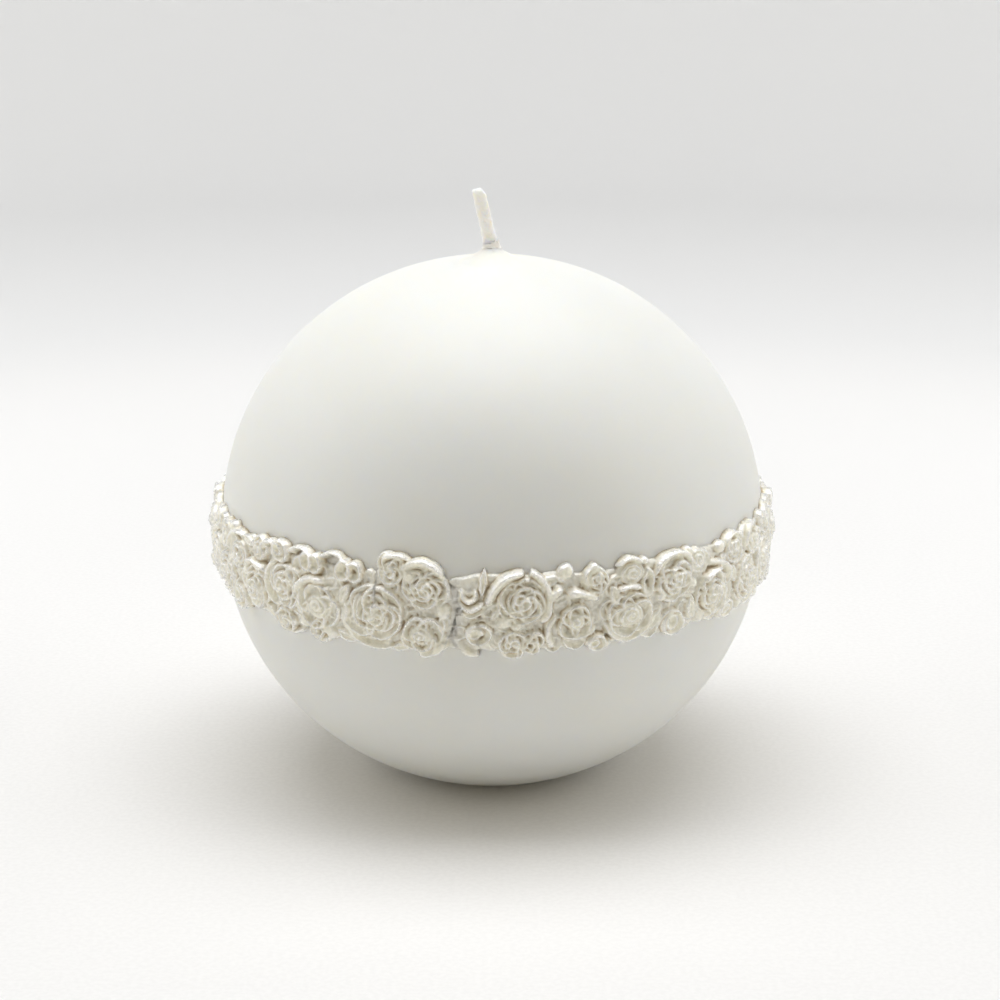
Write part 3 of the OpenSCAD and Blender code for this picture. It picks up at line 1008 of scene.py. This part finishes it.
@dataclass
class Wick:
    """A flat cotton braid stiffened with wax, its cut tip rounded by the dip."""

    path: WickPath
    start: float
    free: float
    wide: float = 2.9
    thick: float = 1.6
    around: int = 96
    rows: int = 300
    wave: Waviness = field(default_factory=lambda: Waviness(5))

    def build(self) -> bpy.types.Object:
        """Makes the wick as one closed skin."""
        foot, cap = -3.0, 0.6
        run = np.concatenate([
            np.linspace(self.start, foot, 40)[:-1],
            np.linspace(foot, self.free - cap, self.rows)[:-1],
            np.linspace(self.free - cap, self.free, 40),
        ])
        turn = np.linspace(0, 2 * math.pi, self.around, endpoint=False)
        r, t = np.meshgrid(run, turn, indexing="ij")
        c, s = np.cos(t), np.sin(t)
        gone = np.clip(1 - (self.free - r) / cap, 0, 1)
        tip = np.sqrt(np.clip(1 - gone**2.4, 0.01, 1))
        shape = (np.abs(c) ** 3.2 + np.abs(s) ** 3.2) ** (-1 / 3.2)
        slant = 1.6 * np.clip((shape * c * tip - 0.45) / 0.55, 0, 1) ** 1.2
        slant += 0.2 * tip * self.wave.at(3 * c + 5, 3 * s + 5, 1.0)
        r = np.where(r > foot, foot + (r - foot) * (self.free - slant - foot) / (self.free - foot), r)
        swell = 1 + 0.22 * smooth_step(6.5, 0.5, r) + 0.05 * self.wave.at(r, 0 * r, 2.3)
        a, b = 0.5 * self.wide * swell, 0.5 * self.thick * swell
        x, y = a * shape * c, b * shape * s
        ply = np.sin(2 * math.pi * (r / 2.1 + 0.5 * np.abs(x) / a)) * np.cos(math.pi * x / a / 1.1)
        soft = 0.05 * ply + 0.06 * self.wave.at(r, 2.0 * t + 9, 0.9) + 0.03 * self.wave.at(r + 40, 4.0 * t, 0.4)
        x, y = x * (1 + soft / a), y * (1 + soft / b)
        x = x * tip - 0.25 * (1 - tip)
        return capped_tube("waxed_wick", self.path.rings(r, x, y * tip))


@dataclass
class WaxSleeve:
    """The stub of dip wax that still clings round the wick's foot, with a torn edge."""

    path: WickPath
    low: float = 1.0
    high: float = 2.7
    wide: float = 3.7
    thick: float = 2.5
    around: int = 128
    wave: Waviness = field(default_factory=lambda: Waviness(11))

    def build(self) -> bpy.types.Object:
        """Makes a solid stub that the wick stands in, with a ragged top and a foot that stands out a little."""
        section = [
            (0.45, 0.0), (1.0, -0.02), (1.12, 0.1), (1.14, 0.22), (1.05, 0.34), (1.0, 0.5), (0.98, 0.75),
            (0.93, 0.95), (0.84, 1.0), (0.72, 0.96), (0.6, 0.8),
        ]
        line = resample(section, 0.03)
        turn = np.linspace(0, 2 * math.pi, self.around, endpoint=False)
        grow, t = np.meshgrid(line[:, 0], turn, indexing="ij")
        share = np.repeat(line[:, 1][:, None], self.around, axis=1)
        c, s = np.cos(t), np.sin(t)
        shape = (np.abs(c) ** 2.6 + np.abs(s) ** 2.6) ** (-1 / 2.6)
        rag = 0.45 * self.wave.at(3 * c + 20, 3 * s + 20, 0.9) + 0.2 * self.wave.at(3 * c, 3 * s + 40, 0.35)
        foot = 0.35 * c + 0.25 * self.wave.at(2 * c + 9, 2 * s + 3, 0.8)
        run = self.low + foot * (1 - share) * -1.0 + share * (self.high - self.low + rag)
        bulge = grow * (1 + 0.06 * self.wave.at(4 * c + 7, 4 * s + run, 0.8))
        x, y = 0.5 * self.wide * shape * c * bulge, 0.5 * self.thick * shape * s * bulge
        return capped_tube("wick_wax_sleeve", self.path.rings(run, x, y))


@dataclass
class Sustainer:
    """The pressed tin foot of the wick: a beaded disc with a crimped collar."""

    low: float = 0.8
    disc: float = 7.5
    tin: float = 0.4
    collar: float = 1.85
    bore: float = 1.45
    high: float = 7.2
    around: int = 128

    def build(self) -> bpy.types.Object:
        """Makes the sustainer as one closed lathe shape, squeezed where the crimp bites."""
        z, t = self.low, self.tin
        section = [
            (self.bore, z), (self.collar + 0.4, z), (4.2, z), (4.7, z + 0.16), (5.3, z + 0.16), (5.8, z),
            (self.disc - 0.15, z), (self.disc, z + 0.12), (self.disc, z + t - 0.1), (self.disc - 0.1, z + t),
            (5.8, z + t), (self.collar + 0.5, z + t), (self.collar + 0.1, z + t + 0.15), (self.collar, z + t + 0.5),
            (self.collar, self.high - 0.15), (self.collar - 0.12, self.high), (self.bore, self.high),
        ]
        line = resample(section + [(self.bore, z + 0.1)], 0.12)
        turn = np.linspace(0, 2 * math.pi, self.around, endpoint=False)
        r, a = np.meshgrid(line[:, 0], turn, indexing="ij")
        up = np.repeat(line[:, 1][:, None], self.around, axis=1)
        bite = np.exp(-(((up - 4.6) / 0.7) ** 2)) * (r < 2.0) * (r > 1.5) * 0.12 * (1 + np.cos(4 * a))
        r = r - bite
        points = np.stack([r * np.cos(a), r * np.sin(a), up], axis=-1).reshape(-1, 3) * MM
        return face_mesh("tin_sustainer", points, grid_quads(len(line), self.around, wrap_rows=True, wrap_columns=True))


# ---------------------------------------------------------------- studio


@dataclass(frozen=True)
class PaperFinish:
    """Pale paper with a fine grain, painted with light and shade: a brighter ring round the candle, duller paper nearer
    it and up the far wall, and a dull, warm side in front of it for the shade on the camera's side.
    """

    grain: float = 900.0
    pale: tuple[Point, Point] = ((0.79, 0.785, 0.775), (0.82, 0.815, 0.805))
    # Painted light: the paper is brighter in this ring round the candle than nearer it.
    ring: Point = (0.87, 0.865, 0.855)
    # Painted shade: the paper is duller again up the far wall.
    wall: Point = (0.84, 0.84, 0.835)
    # A darker, warmer sheet on the camera's side, standing in for the shade there.
    shade: Point = (0.64, 0.6, 0.51)

    def material(self) -> bpy.types.Material:
        """Builds the paper's material."""
        material, w, shader = new_material("pale_paper")
        place = w.add("ShaderNodeTexCoord").outputs["Object"]
        grain = w.noise(place, self.grain)
        away = w.add("ShaderNodeVectorMath", {0: place}, operation="LENGTH").outputs["Value"]
        pale = w.blend(w.band(grain, 0.3, 0.7), (*self.pale[0], 1), (*self.pale[1], 1))
        # The brighter ring and the duller wall are painted light and painted shade on the paper.
        pale_with_lit_ring = w.blend(w.band(away, 0.12, 0.36), pale, (*self.ring, 1))
        paper = w.blend(w.band(away, 0.36, 0.47), pale_with_lit_ring, (*self.wall, 1))
        before = w.add("ShaderNodeSeparateXYZ", {0: place}).outputs["Y"]
        w.put(shader.inputs["Base Color"], w.blend(w.band(before, -0.5, -0.14), (*self.shade, 1), paper))
        shader.inputs["Roughness"].default_value = 0.8
        shader.inputs["Specular IOR Level"].default_value = 0.2
        return material


@dataclass
class Studio:
    """A round room of pale paper with its floor swept up into the wall, soft lamps and the camera."""

    floor: float = 0.72
    sweep: float = 0.25
    top: float = 0.42
    around: int = 160
    lens: float = 96.7
    rise: float = 16.8
    away: float = 0.6
    shift: tuple[float, float] = (0.00172, 0.00424)

    def paper(self) -> bpy.types.Object:
        """Lays the floor and bends it up into a round wall, darker and warmer on the camera's side."""
        wall = self.floor + self.sweep
        line = [(r, 0.0) for r in (0.05, 0.2, 0.4, self.floor)]
        for a in np.linspace(0.05, math.pi / 2, 24):
            line.append((self.floor + self.sweep * math.sin(a), self.sweep * (1 - math.cos(a))))
        line.append((wall, self.top))
        r, z = np.array(line).T
        turn = np.linspace(0, 2 * math.pi, self.around, endpoint=False)
        flat = [np.outer(r, np.cos(turn)), np.outer(r, np.sin(turn)), np.outer(z, np.ones_like(turn))]
        points = np.concatenate([np.stack(flat, axis=-1).reshape(-1, 3), np.zeros((1, 3))])
        quads = grid_quads(len(line), self.around, wrap_columns=True)[:, ::-1]
        sheet = face_mesh("paper_sweep", points, quads, fan(np.arange(self.around), len(points) - 1))
        sheet.data.materials.append(PaperFinish().material())
        return sheet

    def lamp(
        self, name: str, place: Point, aim: Point, size: tuple[float, float], power: float, tint: Point = (1, 1, 1)
    ) -> None:
        """Hangs one soft rectangular lamp.

        Args:
            name: the lamp's name.
            place: where it hangs, in metres.
            aim: the point that it faces.
            size: its width and height in metres.
            power: its power in watts.
            tint: its colour.
        """
        data = bpy.data.lights.new(name, "AREA")
        data.shape, data.size, data.size_y = "RECTANGLE", size[0], size[1]
        data.energy, data.color = power, tint
        lamp = bpy.data.objects.new(name, data)
        lamp.location = place
        lamp.rotation_mode = "QUATERNION"
        lamp.rotation_quaternion = (Vector(aim) - Vector(place)).to_track_quat("-Z", "Y")
        lamp.visible_camera = False
        bpy.context.scene.collection.objects.link(lamp)

    def light(self, middle: Vector) -> None:
        """Hangs the lamps and sets the room's own light."""
        aim = tuple(middle)
        self.lamp("top_softbox", (0.0, 0.05, 0.95), (0.0, 0.0, 0.0), (1.05, 0.75), 10.0, (0.985, 0.99, 1.0))
        self.lamp("left_softbox", (-0.8, 0.03, 0.55), aim, (0.7, 0.7), 2.3)
        self.lamp("right_softbox", (0.8, 0.03, 0.55), aim, (0.7, 0.7), 2.3)
        self.lamp("front_fill", (0.0, -0.88, 0.14), aim, (0.6, 0.2), 0.065, (1.0, 0.8, 0.45))
        world = bpy.data.worlds.new("room")
        world.use_nodes = True
        world.node_tree.nodes["Background"].inputs["Color"].default_value = (1.0, 0.95, 0.82, 1)
        world.node_tree.nodes["Background"].inputs["Strength"].default_value = 0.03
        bpy.context.scene.world = world

    def camera(self, middle: Vector) -> bpy.types.Object:
        """Sets the camera a little above the candle, in front of it."""
        data = bpy.data.cameras.new("camera")
        data.sensor_width, data.lens = 36.0, self.lens
        data.clip_start, data.clip_end = 0.01, 20.0
        camera = bpy.data.objects.new("camera", data)
        rise = math.radians(self.rise)
        back = Vector((0.0, -math.cos(rise), math.sin(rise)))
        camera.location = middle + back * self.away
        above = Vector((0.0, math.sin(rise), math.cos(rise)))
        aim = middle + above * self.shift[1] + Vector((self.shift[0], 0.0, 0.0))
        camera.rotation_mode = "QUATERNION"
        camera.rotation_quaternion = (aim - camera.location).to_track_quat("-Z", "Y")
        bpy.context.scene.collection.objects.link(camera)
        bpy.context.scene.camera = camera
        return camera


# ---------------------------------------------------------------- assembly


@dataclass
class Candle:
    """The whole candle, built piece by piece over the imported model."""

    nodes: dict[str, bpy.types.Object]
    form: BallForm = field(default_factory=BallForm)
    finishes: Finishes = field(default_factory=Finishes)
    bend_over_pole: float = 1.4
    free_end: float = 14.6
    front_joint: float = -7.0

    def dress(self, piece: bpy.types.Object, finish: WaxFinish | PearlFinish | TinFinish) -> None:
        """Gives a piece one finish all over."""
        piece.data.materials.clear()
        piece.data.materials.append(finish.material())

    def fit(self, piece: bpy.types.Object, slot: str, *replaced: str) -> None:
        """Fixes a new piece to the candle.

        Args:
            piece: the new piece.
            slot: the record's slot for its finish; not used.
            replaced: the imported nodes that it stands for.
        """
        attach(piece, "root")
        if replaced:
            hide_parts(*replaced)
        LOG.info("%s: %d faces, for %s", piece.name, len(piece.data.polygons), ", ".join(replaced) or "no packed node")

    def build_ball(self) -> None:
        """Makes the coat and dresses the core under it."""
        coat = DippedCoat(self.form).build()
        self.dress(coat, self.finishes.dip)
        self.fit(coat, "dip_wax", "overdip_coat")
        self.dress(self.nodes["core_ball"], self.finishes.core)

    def build_wick(self) -> None:
        """Makes the wick, its torn wax sleeve and its tin foot."""
        low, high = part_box("wick")
        path = WickPath(bend_at=self.form.pole + self.bend_over_pole)
        wick = Wick(path, start=low.z / MM - path.bend_at, free=self.free_end).build()
        LOG.info("wick top %.2f mm, packed %.2f mm", max(v.co.z for v in wick.data.vertices) / MM, high.z / MM)
        self.dress(wick, self.finishes.wick)
        self.fit(wick, "cotton", "wick")
        sleeve = WaxSleeve(path).build()
        # The sleeve is dip wax; its lighter copy is painted light.
        self.dress(sleeve, self.finishes.torn)
        self.fit(sleeve, "dip_wax")
        foot = Sustainer().build()
        self.dress(foot, self.finishes.tin)
        self.fit(foot, "tinplate", "wick_sustainer")
        self.dress(self.nodes["wick_fixing_wax"], self.finishes.core)

    def build_garland(self) -> None:
        """Casts both strips from one mould and sticks them on."""
        mould = Mould()
        mould.cut()
        for side, start in (("right", self.front_joint), ("left", self.front_joint + 180.0)):
            strip = GarlandStrip(mould, self.form, side, start).build()
            self.dress(strip, self.finishes.pearl)
            self.fit(strip, "pearl_wax", f"garland_strip_{side}")
            self.dress(self.nodes[f"garland_film_{side}"], self.finishes.glue)


def main() -> None:
    """Builds the candle and its studio."""
    logging.basicConfig(level=logging.INFO, format="%(name)s: %(message)s")
    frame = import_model()
    candle = Candle(frame["nodes"])
    middle = Vector((0.0, 0.0, candle.form.middle * MM))
    studio = Studio()
    studio.camera(middle)
    studio.paper()
    studio.light(middle)
    candle.build_ball()
    candle.build_wick()
    candle.build_garland()
    bpy.context.scene.view_settings.view_transform = "Standard"


if __name__ == "__main__":
    main()
